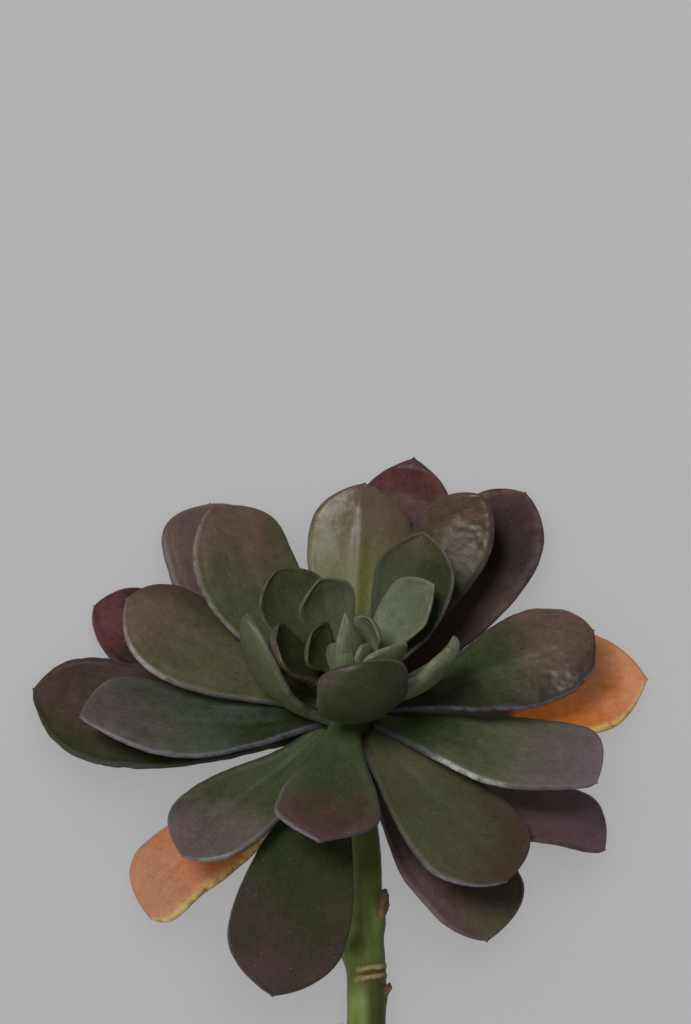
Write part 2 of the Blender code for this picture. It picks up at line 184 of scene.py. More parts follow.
MIDDLE_LEAVES = [
    Leaf("middle_leaf_front_left", 7, 217, 50.5, -9, 24, 3.4, 0.04, -0.02, -0.04, 0, 0.0, "plum_leaf",
         ahead=(1.6, 2.4), behind=(2.8, 2.8)),
    Leaf("middle_leaf_left", 8.5, 181.7, 65.5, 9.5, 24, 3.4, 0.08, 0, -0.075, 0, 0.02, "olive_leaf",
         blunt=0.75, point=(0.93, 0.14), behind=(1.6, 2.8), ahead=(1.6, 1.7)),
    Leaf("middle_leaf_left_upper", 10, 154, 61, 21.5, 28, 3.4, 0.10, -0.02, 0, 0, -0.06, "brown_leaf",
         ahead=(1.5, 2.6), behind=(1.6, 2.6), ridge=-0.1),
    Leaf("middle_leaf_back_left", 12.5, 124, 60.5, 30.5, 26.5, 3.4, 0.10, 0.03, -0.03, 0, -0.05,
         "olive_leaf", ahead=(1.6, 2.0), behind=(1.5, 3.4)),
    Leaf("middle_leaf_back", 9, 85.8, 52, 38.3, 26, 3.4, 0.12, 0, 0, -5, -0.08, "olive_leaf",
         ahead=(1.5, 2.8), behind=(1.5, 2.6), droop=0.08, ridge=0.8, blunt=0.75),
    Leaf("middle_leaf_back_right", 12.5, 55, 55, 41.2, 21, 3.4, 0.07, 0.02, 0, -6, -0.05, "olive_leaf",
         ahead=(1.6, 2.6), behind=(1.6, 2.2), droop=0.08),
    Leaf("middle_leaf_right_upper", 11, 18.5, 63, 17.2, 26, 3.4, 0.06, 0.0, 0, -12, -0.16, "olive_leaf",
         ahead=(5.0, 2.6), behind=(1.8, 3.4), waves=1.0, ridge=0.5),
    Leaf("middle_leaf_right", 9, 345.6, 61.5, 0.2, 27.5, 3.4, 0.06, 0.05, 0.1, 8, 0.04, "plum_leaf",
         ahead=(1.6, 6.0), behind=(1.6, 2.3)),
    Leaf("middle_leaf_front_right", 7, 315.5, 52.5, -11, 28.5, 3.4, 0.04, 0.025, 0.02, 0, -0.04,
         "plum_leaf", ahead=(1.6, 3.0), behind=(1.1, 1.9)),
    Leaf("middle_leaf_front", 12.5, 260.5, 43.3, 10, 25, 3.4, 0.06, 0, 0, 0, -0.02, "plum_leaf",
         ahead=(2.2, 1.9), behind=(2.2, 1.9), broad=0.74, blunt=1.25, point=(0.93, 0.12)),
]
INNER_LEAVES = [
    Leaf("inner_leaf_left", 10, 172, 24.5, 39.5, 17, 3.0, 0.17, -0.03, 0, -45, 0.30, "young_leaf",
         foot_turn=45, blunt=0.75, broad=0.6, end=0.8),
    Leaf("inner_leaf_front", 14, 283, 13.5, 40.3, 22, 3.0, 0.20, 0, 0, 0, 0.30, "young_leaf",
         ahead=(1.2, 6.0), behind=(1.2, 6.0), broad=0.6, blunt=0.5),
    Leaf("inner_leaf_right", 14.5, 357.5, 23.8, 32.0, 14, 5.2, 0.12, 0.08, 0, 30, 0.30, "young_leaf",
         ahead=(1.6, 6.0), behind=(1.6, 6.0), broad=0.8, blunt=0.45, point=(0.99, 0.02), end=1.0),
    Leaf("inner_leaf_back_right", 15, 59, 34, 42, 21, 3.0, 0.10, -0.07, 0, 0, 0.30, "young_leaf",
         blunt=0.85),
    Leaf("inner_leaf_back_left", 17, 128, 28.5, 35.5, 19, 2.6, 0.10, 0, 0, 0, 0.30, "young_leaf"),
    Leaf("inner_leaf_right_upper", 18, 33, 24, 39.6, 15, 2.6, 0.10, 0.14, 0, 0, 0.30, "young_leaf",
         blunt=0.85, ahead=(1.4, 1.5), behind=(1.6, 1.8)),
    Leaf("inner_leaf_left_lower", 18.5, 180, 18.3, 33.8, 14, 3.8, 0.10, -0.06, 0, 0, 0.30, "young_leaf",
         ahead=(1.6, 4.0), behind=(1.6, 4.0), end=0.8),
    Leaf("inner_leaf_back", 19.5, 121, 14, 43, 15.3, 2.6, 0.10, -0.03, 0, 0, 0.30, "young_leaf",
         blunt=1.0),
]
HEART_LEAVES = [
    Leaf("heart_leaf_left", 23, 160, 9.6, 33, 14, 2.4, 0.14, 0, 0, 0, 0.2, "young_leaf"),
    Leaf("heart_leaf_right", 23, 330, 11, 37.5, 14, 2.6, 0.14, 0, 0, 25, 0.30, "young_leaf",
         ahead=(1.2, 4.0), behind=(1.2, 4.0), end=0.8),
    Leaf("heart_leaf_back", 24, 40, 6, 37.3, 9.5, 2.4, 0.10, 0, 0, 0, 0.30, "young_leaf"),
    Leaf("heart_leaf_front", 23, 232, 2.8, 35, 8, 2.2, 0.14, 0, 0, 0, 0.30, "young_leaf"),
    Leaf("heart_leaf_small", 23, 317, 3.7, 35, 6, 2.0, 0.14, 0, 0, 0, 0.30, "young_leaf"),
    Leaf("heart_point", 24, 300, -2.5, 41, 8, 3.6, 0.12, 0, 0, 0, 0.30, "young_leaf",
         ahead=(1.0, 1.4), behind=(1.0, 1.4), broad=0.45, blunt=0.9, foot_turn=-40),
]

# Dry stubs of old leaves on the stem. place: distance from the cut end. around: turn about the
# stem from its right side up over its top. lift: how far the free end stands off.
Stub = namedtuple("Stub", "name place around length width lift")
STUBS = [
    Stub("dry_stub_upper", 60.5, 22, 9.0, 6.0, 0.4),
    Stub("dry_stub_right", 42.0, 12, 4.6, 4.0, 1.2),
    Stub("dry_stub_left", 31.5, 170, 5.2, 4.5, 1.6),
    Stub("dry_stub_lower", 13.0, 75, 6.0, 5.0, 1.0),
]
STUB_SEAT = 3.2
STUB_CUP = -0.35
STUB_RISE = 1.6
STUB_BOW = 1.9
STUB_BOW_LIFT = 0.3
STUB_EDGE_WAVES = 2.2
STUB_SURFACE_WAVES = 0.4
STUB_STEPS = 40
STUB_POINTS = 32
STUB_FORM = PLAIN_LEAF._replace(
    thick=1.0, cup=STUB_CUP, ridge=0.0, broad=0.5, blunt=0.5, waves=STUB_EDGE_WAVES,
)
STUB_GRAIN = 1.1
STUB_RAGGEDNESS = 0.45

# The noise of the stubs' ragged edges starts from this number, so it is the same on every run.
STUB_SEED = 7

# How fine the patterns in the skins are, in cells a metre.
DRIFT_SCALE = 42.0
CLOUD_SCALE = 75.0
LUMP_SCALE = 280.0
MOTTLE_SCALE = 420.0
SPECK_SCALE = 430.0
GRAIN_SCALE = 1700.0
STEM_CLOUD_SCALE = 90.0
STEM_BLOTCH_SCALE = 260.0
STEM_MOTTLE_SCALE = 600.0
STEM_LINE_SCALE = 1100.0

# How softly a leaf's colours run into each other, as a share of its length, and how far away the
# far edge is counted, in millimetres, so that each edge's line stays on its own side of the leaf.
SOFTNESS = 0.08
OTHER_EDGE = 50.0

# How deep the finest relief of each skin is, in metres, and how strongly it shows.
LEAF_RELIEF = 0.0006
STEM_RELIEF = 0.0003
TABLE_RELIEF = 0.0001
RELIEF_STRENGTH = 0.6

# The table, in metres, and the studio's lights: where each comes from, how wide it looks in
# degrees, and how strong it is. The leaves above shade the stem and the two orange leaves more than
# in the photograph, so the low light falls on the low pieces alone and passes all other leaves, and
# the orange light falls on the right orange leaf alone. The two table lights fall on the table alone.
TABLE_SIZE = 40.0
TABLE_DROP = 0.0002
ROOM_LIGHT = 0.16
Sun = namedtuple("Sun", "source angle power")
SUNS = {
    "key": Sun((-0.27, 0.2, 0.94), 20.0, 2.0),
    "fill": Sun((-0.6, -0.65, 0.45), 28.0, 0.85),
    "low light": Sun((-0.6, 0.0, 0.8), 70.0, 0.8),
    "orange light": Sun((0.2, 0.3, 0.93), 30.0, 1.0),
    "table light": Sun((0.0, 0.2, 1.0), 60.0, 2.38),
    "table shade": Sun((-0.1, 0.2, 1.0), 75.0, 0.4),
}
LOW_PIECES = ("stem", "dry", "outer_leaf_left_orange", "outer_leaf_right_orange")


def shade(red, green, blue):
    """A colour as it is seen, 0 to 255, turned into the light it sends back."""
    seen = [channel / 255 for channel in (red, green, blue)]
    return tuple(c / 12.92 if c <= 0.04045 else ((c + 0.055) / 1.055) ** 2.4 for c in seen)


# The colours of the plant and the table, as they are seen.
FOREST = shade(38, 48, 24)
MOSS = shade(56, 64, 38)
OLIVE = shade(72, 74, 48)
GREY_GREEN = shade(84, 92, 66)
PALE_GREEN = shade(108, 116, 90)
BROWN = shade(82, 64, 52)
PLUM = shade(78, 54, 54)
UMBER = shade(56, 44, 34)
# The darkest brown below is painted shade, on leaf parts that lie in the shade of other leaves.
SHADE_BROWN = shade(36, 28, 24)
BURGUNDY = shade(76, 40, 42)
WINE = shade(92, 54, 54)
VIOLET = shade(66, 56, 82)
MAUVE = shade(94, 80, 80)
LAVENDER = shade(140, 132, 150)
BLOOM = shade(128, 124, 116)
BONE = shade(126, 122, 98)
ROSEWOOD = shade(98, 78, 70)
DUSK = shade(50, 40, 30)
COCOA = shade(70, 54, 46)
PINE = shade(46, 50, 30)
FIG = shade(64, 48, 46)
HEATHER = shade(92, 68, 74)
LILAC = shade(104, 90, 94)
SAGE = shade(88, 92, 66)
SLATE = shade(66, 73, 58)
# The pearl white below is a painted highlight on bright leaf rims.
HIGHLIGHT_PEARL = shade(176, 174, 168)
RUST = shade(116, 96, 70)
APRICOT = shade(166, 110, 78)
FERN = shade(56, 68, 38)
LIME = shade(102, 104, 58)
CINNAMON = shade(112, 88, 80)
EARTH = shade(76, 60, 52)
KHAKI = shade(84, 84, 58)
CLAY = shade(98, 76, 70)
SALMON = shade(154, 103, 76)
# The deep amber below is painted shade on the orange leaves, where the leaves above shade them.
SHADE_AMBER = shade(158, 84, 16)
STRAW = shade(168, 148, 88)
STEM_GREEN = shade(112, 124, 66)
STEM_SHADE = shade(88, 100, 48)
# The deepest stem green below is painted shade on the stem's right side.
STEM_PAINTED_SHADE = shade(54, 58, 28)
TAN = shade(150, 136, 92)
BARK = shade(72, 54, 36)
TABLE_FAR = shade(177, 176, 176)
TABLE_NEAR = shade(170, 170, 173)

# foot, body, tip: colours along the blade. tip_from, tip_to: where the body turns into the tip.
# foot_from, foot_to: where the foot turns into the body. grainy: how strong the mottling is.
# edge: how strong the thin violet line on the very edge is.
# ahead, behind: tint of the side that faces the next leaf counter-clockwise and clockwise, and how
# strong it is. ahead_rim, behind_rim: colour and strength of the line on each edge. On some leaves
# a foot, body, side tint or rim line is painted shade or a painted highlight; each such paint says
# so. haze: strength of the pale wax near the rim. shine, rough: how strongly and how broadly the
# skin reflects.
# wrinkle: how deeply the skin is creased. under: colour of the underside.
Paint = namedtuple(
    "Paint",
    "foot body tip tip_from tip_to ahead behind ahead_rim behind_rim haze shine rough wrinkle under "
    "foot_from foot_to grainy edge",
)


def rim(tint, strength, start=0.1, end=1.1, width=0.9):
    """A line on the rim: its colour, its strength, where it runs along the blade and its width."""
    return (tint, strength, start, end, width)


def paint(foot, body, tip, tip_from=0.4, tip_to=0.9, ahead=(BROWN, 0.0), behind=(BROWN, 0.0),
          ahead_rim=rim(MAUVE, 0.25), behind_rim=rim(MAUVE, 0.25), haze=0.04, shine=0.22, rough=0.42,
          wrinkle=0.1, under=MOSS, foot_from=0.12, foot_to=0.5, grainy=1.0, edge=0.5):
    return Paint(foot, body, tip, tip_from, tip_to, ahead, behind, ahead_rim, behind_rim, haze,
                 shine, rough, wrinkle, under, foot_from, foot_to, grainy, edge)


PAINTS = {
    # Its dark foot is the painted shadow of middle_leaf_back, and its lighter right side is a painted
    # highlight.
    "outer_leaf_back": paint(
        DUSK, BURGUNDY, WINE, 0.6, 0.95, shine=0.07, rough=0.34, haze=0.0, wrinkle=0.5,
        behind=(CINNAMON, 0.35), foot_from=0.62, foot_to=1.0,
    ),
    "outer_leaf_back_left": paint(
        MOSS, ROSEWOOD, ROSEWOOD, ahead=(PLUM, 0.5), haze=0.25,
    ),
    # Its dark foot is painted shade where it lies under middle_leaf_left_upper.
    "outer_leaf_left_upper": paint(
        SHADE_BROWN, BURGUNDY, WINE, 0.9, 1.1, foot_from=0.7, foot_to=1.05, haze=0.0, shine=0.15,
        ahead_rim=rim(BLOOM, 0.3, 0.3, 1.1, 0.6), behind_rim=rim(OLIVE, 0.6),
    ),
    "outer_leaf_left": paint(
        FOREST, DUSK, COCOA, 0.6, 1.0, ahead=(FOREST, 0.8), behind=(PLUM, 0.4),
        ahead_rim=rim(OLIVE, 0.4, width=1.2), behind_rim=rim(MAUVE, 0.4), haze=0.0, under=FOREST,
        shine=0.12,
    ),
    # Its amber foot and middle are painted shade where middle_leaf_front_left shades it.
    "outer_leaf_left_orange": paint(
        SHADE_AMBER, SHADE_AMBER, SALMON, 0.55, 0.8, ahead_rim=rim(STRAW, 0.9, width=3.0), behind_rim=rim(STRAW, 0.4),
        haze=0.0, under=STRAW, grainy=0.8, shine=0.14,
    ),
    "outer_leaf_front_left": paint(
        FOREST, PINE, FIG, 0.55, 0.9, ahead_rim=rim(OLIVE, 0.5, width=1.4), foot_to=0.7,
        behind_rim=rim(BLOOM, 0.4, 0.5, 1.0, 0.7), haze=0.0, shine=0.06, rough=0.5,
    ),
    "outer_leaf_front_right": paint(
        OLIVE, ROSEWOOD, KHAKI, 0.8, 1.0, behind=(HEATHER, 0.6), ahead_rim=rim(OLIVE, 0.5),
        behind_rim=rim(MAUVE, 0.5), foot_from=0.3, foot_to=0.6,
    ),
    "outer_leaf_right": paint(
        FOREST, ROSEWOOD, HEATHER, 0.3, 0.8, behind=(WINE, 0.3),
        ahead_rim=rim(LAVENDER, 0.3, width=0.6), behind_rim=rim(OLIVE, 0.4, width=0.6), wrinkle=0.2,
    ),
    # Its dark foot and amber middle are painted shade where middle_leaf_right_upper shades it.
    "outer_leaf_right_orange": paint(
        UMBER, SHADE_AMBER, APRICOT, 0.68, 0.9, ahead_rim=rim(STRAW, 0.5),
        behind_rim=rim(STRAW, 0.9, 0.6, 1.1, 2.2),
        haze=0.0, under=STRAW, wrinkle=0.3, foot_from=0.35, foot_to=0.6, grainy=0.6, shine=0.14,
    ),
    # Its dark body is the painted shadow of middle_leaf_back_right, and the broad pale lines on its top
    # and right edges are painted light where it is lit.
    "outer_leaf_back_right": paint(
        EARTH, SHADE_BROWN, PLUM, 0.8, 1.0, foot_from=0.5, foot_to=0.85,
        ahead_rim=rim(CINNAMON, 0.8, 0.7, 1.1, 4.0),
        behind_rim=rim(MAUVE, 0.7, 0.5, 1.1, 3.5), shine=0.07, rough=0.5, wrinkle=0.3,
        haze=0.0,
    ),
    # The pale line on its lower edge near the tip is a painted highlight.
    "middle_leaf_front_left": paint(
        MOSS, MOSS, MAUVE, 0.5, 0.95, behind_rim=rim(LAVENDER, 0.3, width=0.6),
        ahead_rim=rim(BLOOM, 0.5, 0.85, 1.1, 2.0), shine=0.26, rough=0.36,
    ),
    "middle_leaf_left": paint(
        FOREST, SLATE, MAUVE, 0.55, 1.0, ahead_rim=rim(LAVENDER, 0.25), haze=0.15,
    ),
    # Its umber upper side is painted shade where it tucks under middle_leaf_back_left, and the pearl line
    # on its lower-left rim is a painted highlight.
    "middle_leaf_left_upper": paint(
        OLIVE, KHAKI, CINNAMON, 0.65, 0.95, behind=(UMBER, 0.7), behind_rim=rim(PLUM, 0.4),
        ahead_rim=rim(HIGHLIGHT_PEARL, 0.6, 0.68, 0.9, 1.4),
    ),
    # The pale line on its lower-left edge is a painted highlight.
    "middle_leaf_back_left": paint(
        SLATE, OLIVE, CLAY, 0.62, 0.95, behind=(KHAKI, 0.4), ahead_rim=rim(BLOOM, 0.6, 0.4, 1.1, 1.0),
    ),
    # The pale line on its left edge is a painted highlight.
    "middle_leaf_back": paint(
        LIME, LIME, ROSEWOOD, 0.5, 0.95, behind=(BROWN, 0.4), shine=0.16, rough=0.26, wrinkle=0.5,
        ahead_rim=rim(BONE, 0.4, 0.4, 0.8, 2.0),
    ),
    "middle_leaf_back_right": paint(
        FOREST, MOSS, BROWN, 0.4, 0.85, shine=0.13, rough=0.28, wrinkle=1.0, foot_from=0.4,
        foot_to=0.75,
    ),
    # Its dark lower side is painted shade on the half that turns away from the light.
    "middle_leaf_right_upper": paint(
        FOREST, MOSS, CLAY, 0.5, 0.95, ahead_rim=rim(LAVENDER, 0.25), behind_rim=rim(LAVENDER, 0.3),
        behind=(SHADE_BROWN, 0.7), wrinkle=1.0, shine=0.16, rough=0.28,
    ),
    # The bright pearl line on its lower rim, near the foot, is a painted highlight.
    "middle_leaf_right": paint(
        FERN, SAGE, LILAC, 0.5, 0.95, behind_rim=rim(HIGHLIGHT_PEARL, 0.9, 0.3, 0.6, 1.6),
        ahead_rim=rim(MAUVE, 0.3), haze=0.15,
    ),
    "middle_leaf_front_right": paint(
        KHAKI, OLIVE, COCOA, 0.6, 1.0, behind_rim=rim(LAVENDER, 0.5, 0.75, 1.1, 1.0),
        ahead_rim=rim(PLUM, 0.4), ahead=(PLUM, 0.5),
    ),
    "middle_leaf_front": paint(
        FERN, MOSS, PLUM, 0.45, 1.0, behind_rim=rim(LAVENDER, 0.45, 0.5, 1.1, 1.0),
        ahead_rim=rim(PLUM, 0.3), haze=0.1,
    ),
    "inner_leaf_left": paint(
        MOSS, OLIVE, SAGE, 0.6, 1.0, ahead_rim=rim(BLOOM, 0.25), behind_rim=rim(SAGE, 0.4),
        under=OLIVE, edge=0.1,
    ),
    "inner_leaf_front": paint(
        MOSS, MOSS, MOSS, 0.6, 1.0, behind_rim=rim(PLUM, 0.7, 0.75, 1.1, 4.0),
        ahead_rim=rim(MAUVE, 0.5, 0.9, 1.1, 1.5), under=PINE, edge=0.1,
    ),
    "inner_leaf_right": paint(
        GREY_GREEN, PALE_GREEN, PALE_GREEN, under=GREY_GREEN, edge=0.0,
    ),
    "inner_leaf_back_right": paint(
        MOSS, MOSS, BROWN, 0.85, 1.15, behind_rim=rim(LILAC, 0.7, width=1.1),
        ahead_rim=rim(SAGE, 0.6), edge=0.1,
    ),
    "inner_leaf_back_left": paint(MOSS, MOSS, OLIVE, ahead_rim=rim(BLOOM, 0.4), edge=0.1),
    "inner_leaf_right_upper": paint(
        GREY_GREEN, PALE_GREEN, PALE_GREEN, behind_rim=rim(BONE, 0.7), edge=0.0,
    ),
    "inner_leaf_left_lower": paint(
        PINE, PINE, OLIVE, 0.6, 1.0, ahead_rim=rim(ROSEWOOD, 0.6, width=1.6), under=SAGE,
        edge=0.1,
    ),
    "inner_leaf_back": paint(GREY_GREEN, SAGE, SAGE, behind_rim=rim(BONE, 0.5), edge=0.1),
}
HEART_PAINT = paint(
    MOSS, PALE_GREEN, PALE_GREEN, ahead_rim=rim(BONE, 0.5), behind_rim=rim(BONE, 0.5),
    under=GREY_GREEN, edge=0.0,
)
CUP_PAINT = paint(
    PINE, MOSS, BROWN, 0.85, 1.2, ahead_rim=rim(SAGE, 0.6), behind_rim=rim(SAGE, 0.4), under=SAGE,
    edge=0.0,
)
POINT_PAINT = paint(
    MOSS, PALE_GREEN, TAN, 0.75, 1.0, ahead_rim=rim(BONE, 0.3), behind_rim=rim(BONE, 0.3),
    under=GREY_GREEN, edge=0.0,
)
STUB_PAINT = paint(
    TAN, RUST, BARK, 0.7, 1.1, ahead_rim=rim(BARK, 0.9), behind_rim=rim(BARK, 0.9), haze=0.0,
    rough=0.8, wrinkle=1.0, under=RUST,
)


class Value:
    """A socket of a node tree that formulas can be written with."""

    def __init__(self, graph, socket):
        self.graph = graph
        self.socket = socket

    def __add__(self, other):
        return self.graph.combine("ADD", self, other)

    def __radd__(self, other):
        return self.graph.combine("ADD", other, self)

    def __sub__(self, other):
        return self.graph.combine("SUBTRACT", self, other)

    def __rsub__(self, other):
        return self.graph.combine("SUBTRACT", other, self)

    def __mul__(self, other):
        return self.graph.combine("MULTIPLY", self, other)

    def __rmul__(self, other):
        return self.graph.combine("MULTIPLY", other, self)

    def __truediv__(self, other):
        return self.graph.combine("DIVIDE", self, other)

    def __pow__(self, other):
        return self.graph.combine("POWER", self, other)


class Graph:
    """A node tree, for geometry or for a material, that is written as formulas."""

    def __init__(self, tree):
        self.tree = tree

    def add(self, kind, inputs=None, output=0, **settings):
        node = self.tree.nodes.new(kind)
        for name, value in settings.items():
            setattr(node, name, value)
        for key, value in (inputs or {}).items():
            self.feed(node.inputs[key], value)
        return Value(self, node.outputs[output])

    def feed(self, socket, value):
        if isinstance(value, Value):
            self.tree.links.new(value.socket, socket)
        elif socket.type == "VECTOR" and isinstance(value, (int, float)):
            socket.default_value = (value, value, value)
        elif socket.type == "RGBA" and len(value) == 3:
            socket.default_value = (*value, 1.0)
        else:
            socket.default_value = value

    def combine(self, operation, *values):
        """Joins numbers or vectors with one Math or Vector Math node."""
        vectors = [v for v in values if isinstance(v, (tuple, Vector))]
        vectors += [v for v in values if isinstance(v, Value) and v.socket.type in ("VECTOR", "RGBA")]
        kind = "ShaderNodeVectorMath" if vectors else "ShaderNodeMath"
        return self.add(kind, dict(enumerate(values)), operation=operation)

    def maths(self, operation, *values):
        return self.add("ShaderNodeMath", dict(enumerate(values)), operation=operation)

    def dot(self, first, second):
        return self.add("ShaderNodeVectorMath", {0: first, 1: second}, 1, operation="DOT_PRODUCT")

    def cross(self, first, second):
        return self.add("ShaderNodeVectorMath", {0: first, 1: second}, operation="CROSS_PRODUCT")

    def unit(self, vector):
        return self.add("ShaderNodeVectorMath", {0: vector}, operation="NORMALIZE")

    def part(self, vector, axis):
        return self.add("ShaderNodeSeparateXYZ", {0: vector}, axis)

    def vector(self, x, y, z):
        return self.add("ShaderNodeCombineXYZ", {0: x, 1: y, 2: z})

    def clamp(self, value, low=0.0, high=1.0):
        return self.add("ShaderNodeClamp", {0: value, 1: low, 2: high})

    def smooth(self, value, low, high):
        """0 below low, 1 above high and a smooth rise between them."""
        return self.add(
            "ShaderNodeMapRange", {0: value, 1: low, 2: high}, interpolation_type="SMOOTHSTEP"
        )

    def noise(self, place, scale, detail=2.0, roughness=0.5):
        inputs = {"Vector": place, "Scale": scale, "Detail": detail, "Roughness": roughness}
        return self.add("ShaderNodeTexNoise", inputs)

    def mix(self, share, first, second):
        """The first colour at 0 and the second at 1."""
        return self.add("ShaderNodeMix", {0: share, 6: first, 7: second}, 2, data_type="RGBA")


def geometry_tree(name, inputs):
    """An empty geometry tree with these named inputs, its formulas and the inputs as values."""
    tree = bpy.data.node_groups.new(name, "GeometryNodeTree")
    tree.interface.new_socket("Geometry", in_out="INPUT", socket_type="NodeSocketGeometry")
    tree.interface.new_socket("Geometry", in_out="OUTPUT", socket_type="NodeSocketGeometry")
    for label, kind in inputs.items():
        tree.interface.new_socket(label, in_out="INPUT", socket_type="NodeSocket" + kind)
    graph = Graph(tree)
    entry = tree.nodes.new("NodeGroupInput")
    values = {socket.name: Value(graph, socket) for socket in entry.outputs if socket.name}
    return graph, values


def close_tree(graph, geometry, skin):
    """Ends the tree: smooth faces, real geometry and the skin's material."""
    smooth = graph.add("GeometryNodeSetShadeSmooth", {"Geometry": geometry})
    real = graph.add("GeometryNodeRealizeInstances", {"Geometry": smooth})
    skinned = graph.add("GeometryNodeSetMaterial", {"Geometry": real, "Material": skin})
    exit_node = graph.tree.nodes.new("NodeGroupOutput")
    graph.feed(exit_node.inputs[0], skinned)


def keep(graph, geometry, name, value):
    """Stores a number for each point under this name, for the material to read."""
    return graph.add(
        "GeometryNodeStoreNamedAttribute",
        {"Geometry": geometry, "Name": name, "Value": value},
        data_type="FLOAT",
        domain="POINT",
    )


BLADE_INPUTS = {
    "Foot": "Vector",
    "Bend": "Vector",
    "Tip": "Vector",
    "Side": "Vector",
    "Width": "Float",
    "Thickness": "Float",
    "End Thickness": "Float",
    "Foot Cup": "Float",
    "Tip Cup": "Float",
    "Hook": "Float",
    "Droop": "Float",
    "Ridge": "Float",
    "Broadest": "Float",
    "Tip Rounding": "Float",
    "Point From": "Float",
    "Point Width": "Float",
    "Ahead Waist": "Float",
    "Ahead Shoulder": "Float",
    "Behind Waist": "Float",
    "Behind Shoulder": "Float",
    "Edge Waves": "Float",
    "Surface Waves": "Float",
    "Steps": "Int",
    "Points": "Int",
    "Skin": "Material",
}


def blade_width(graph, share, given, waist_power, shoulder_power):
    """Half the blade's width at this share of its length, with 1 at its broadest."""
    broadest = given["Broadest"]
    grown = graph.maths("MINIMUM", share / broadest, 1.0)
    swell = graph.maths("SINE", grown * (0.5 * math.pi)) ** waist_power
    waist = swell * (1.0 - FOOT_WIDTH) + FOOT_WIDTH
    past = graph.clamp((share - broadest) / (BLADE_END - broadest))
    blade = graph.maths("MAXIMUM", 1.0 - past**shoulder_power, 0.0) ** given["Tip Rounding"]
    near_end = graph.clamp((1.0 - share) / (1.0 - given["Point From"]))
    point = graph.maths("SQRT", near_end) * given["Point Width"]
    outline = waist * blade
    return graph.maths("SQRT", outline * outline + point * point)


def blade_thickness(graph, share, end_thickness):
    """Half the blade's thickness at this share of its length, with 1 at its foot."""
    thinning = 1.0 - share * share * TIP_THINNING
    end = graph.maths("MINIMUM", (1.0 - share) * END_SLOPE + end_thickness, 1.0)
    tip = graph.maths("SQRT", graph.clamp((1.0 - share) / TIP_ROUND))
    return thinning * end * tip


